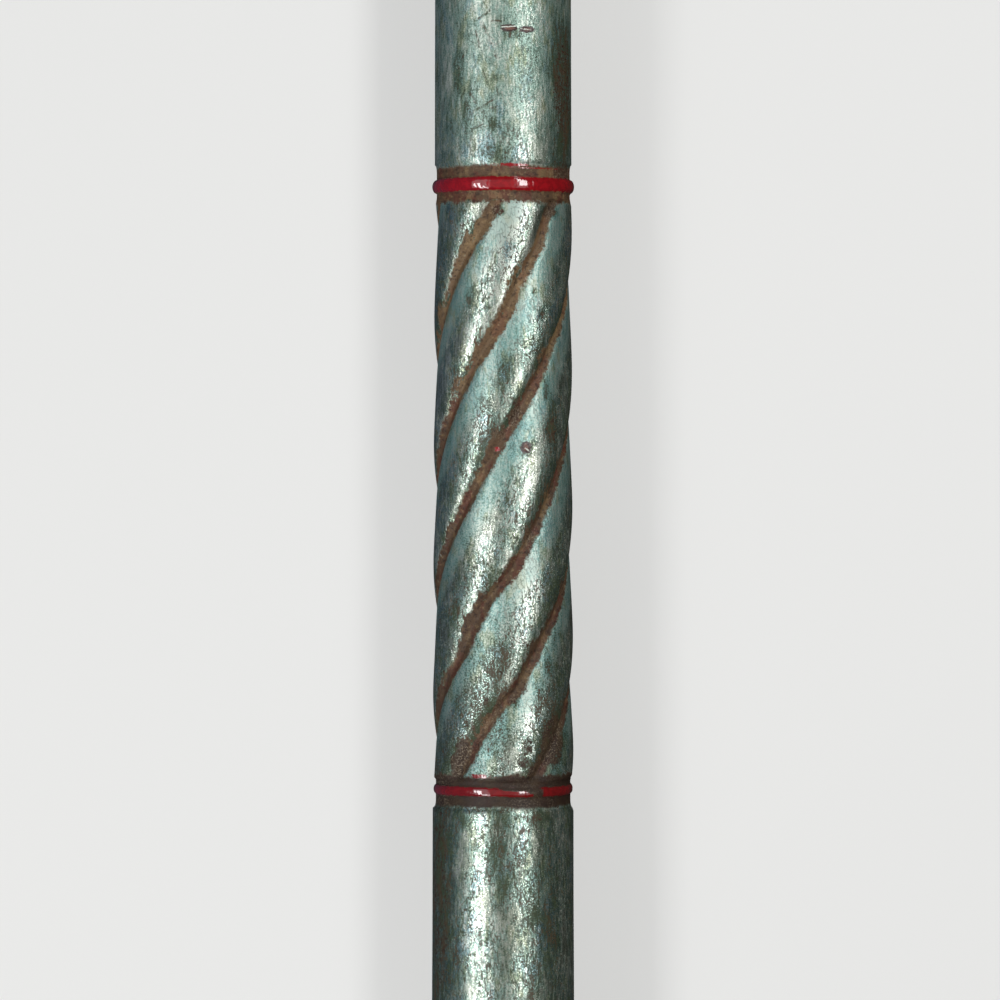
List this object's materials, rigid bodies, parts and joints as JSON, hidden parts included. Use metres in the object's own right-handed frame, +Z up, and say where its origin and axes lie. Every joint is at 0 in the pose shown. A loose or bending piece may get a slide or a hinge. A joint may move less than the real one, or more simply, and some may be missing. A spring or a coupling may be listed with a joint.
{
  "type": "linguist staff",
  "caption": "Long round wooden staff of office with rope-carved lengths between banded rings, a rounded foot and a turned, domed head.",
  "frame": {"origin": "on the ground under the middle of the staff's box, the staff lying on the small flats under its foot and its knop", "axes": "+Y along the staff towards its head, +Z up from the ground, +X across it"},
  "size_m": [0.048, 1.4386, 0.0472],
  "materials": {
    "painted_wood": "worn, varnished pale grey-green paint over dark brown wood; deep red enamel on the ring beads"
  },
  "bodies": {
    "root": {"staff": "painted_wood"}
  },
  "joints": []
}
